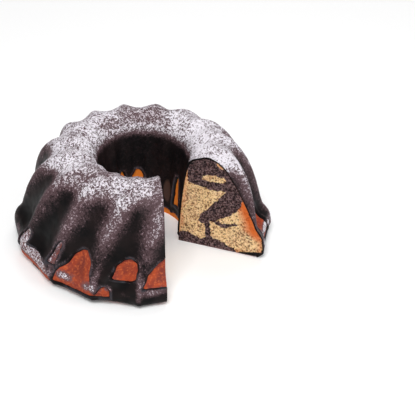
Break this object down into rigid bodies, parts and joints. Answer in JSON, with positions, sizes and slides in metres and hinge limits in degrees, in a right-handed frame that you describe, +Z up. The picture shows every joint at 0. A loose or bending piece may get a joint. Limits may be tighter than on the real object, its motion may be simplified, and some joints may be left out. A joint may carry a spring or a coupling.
{
  "type": "bundt cake",
  "caption": "Ring-shaped marbled cake with swirling ridges, chocolate glaze and icing sugar, with a wedge cut out to show the marbled crumb.",
  "frame": {"origin": "centre of the ring on the surface the cake stands on, on the axis of its centre hole", "axes": "+Z up along the axis of the centre hole; the cut-out wedge opens towards +X and -Y"},
  "size_m": [0.2454, 0.2454, 0.1],
  "materials": {
    "cake": "baked crust, and open marbled crumb on the cuts",
    "glaze": "set chocolate glaze, dusted with sugar",
    "sugar": "icing sugar"
  },
  "bodies": {
    "root": {"cake": "cake"}
  },
  "joints": []
}
